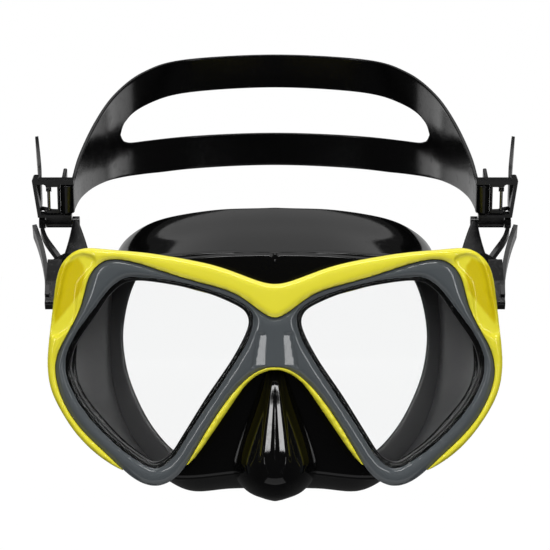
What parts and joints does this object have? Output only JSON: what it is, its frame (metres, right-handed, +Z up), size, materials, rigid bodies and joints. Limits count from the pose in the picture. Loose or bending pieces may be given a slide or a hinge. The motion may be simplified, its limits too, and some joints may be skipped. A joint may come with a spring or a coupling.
{
  "type": "snorkel mask",
  "caption": "Dive mask with tempered-glass lenses in a swept frame, a silicone skirt with a nose pocket, and a split head strap on swivelling quick-adjust buckles.",
  "frame": {"origin": "the point where the wearer's nose bridge lies against the mask, on its middle plane", "axes": "+X to the right as seen from the front, +Y back towards the wearer's head, +Z up"},
  "size_m": [0.189, 0.1887, 0.1789],
  "materials": {
    "frame_yellow": "glossy lemon yellow",
    "retainer_grey": "glossy cool grey",
    "lens_glass": "clear tempered glass",
    "skirt_silicone": "glossy black silicone",
    "strap_silicone": "satin black silicone",
    "buckle_black": "glossy black",
    "roller_black": "satin black",
    "pin_steel": "plain",
    "spring_steel": "drawn wire"
  },
  "bodies": {
    "mask": {"frame_shell": "frame_yellow", "lens_retainer": "retainer_grey", "lens_left": "lens_glass", "lens_right": "lens_glass", "skirt": "skirt_silicone", "strap_arm_left": "buckle_black", "strap_arm_right": "buckle_black", "swivel_pin_left": "pin_steel", "swivel_pin_right": "pin_steel"},
    "strap_assembly": {"strap": "strap_silicone", "buckle_body_left": "buckle_black", "buckle_body_right": "buckle_black", "lever_pin_left": "pin_steel", "lever_pin_right": "pin_steel", "lever_spring_left": "spring_steel", "lever_spring_right": "spring_steel"},
    "roller_left": {"roller_left": "roller_black"},
    "roller_right": {"roller_right": "roller_black"},
    "lever_left": {"lever_left": "buckle_black"},
    "lever_right": {"lever_right": "buckle_black"}
  },
  "joints": [
    {"name": "strap_swing", "type": "hinge", "parent": "mask", "child": "strap_assembly", "pos_m": [0, -0.002, 0.0203], "axis": [1, 0, 0], "range_deg": [-40, 35]},
    {"name": "roller_left_spin", "type": "hinge", "parent": "strap_assembly", "child": "roller_left", "pos_m": [-0.0796, -0.00519, 0.02946], "axis": [0, -0.3289, 0.9444], "continuous": true},
    {"name": "roller_right_spin", "type": "hinge", "parent": "strap_assembly", "child": "roller_right", "pos_m": [0.0796, -0.00519, 0.02946], "axis": [0, -0.3289, 0.9444], "continuous": true},
    {"name": "lever_left_release", "type": "hinge", "parent": "strap_assembly", "child": "lever_left", "pos_m": [-0.0867, -0.00519, 0.02946], "axis": [0, 0.3289, -0.9444], "range_deg": [0, 12], "stiffness_Nm_per_rad": 0.02, "springref_deg": -8.59},
    {"name": "lever_right_release", "type": "hinge", "parent": "strap_assembly", "child": "lever_right", "pos_m": [0.0867, -0.00519, 0.02946], "axis": [0, -0.3289, 0.9444], "range_deg": [0, 12], "stiffness_Nm_per_rad": 0.02, "springref_deg": -8.59}
  ]
}
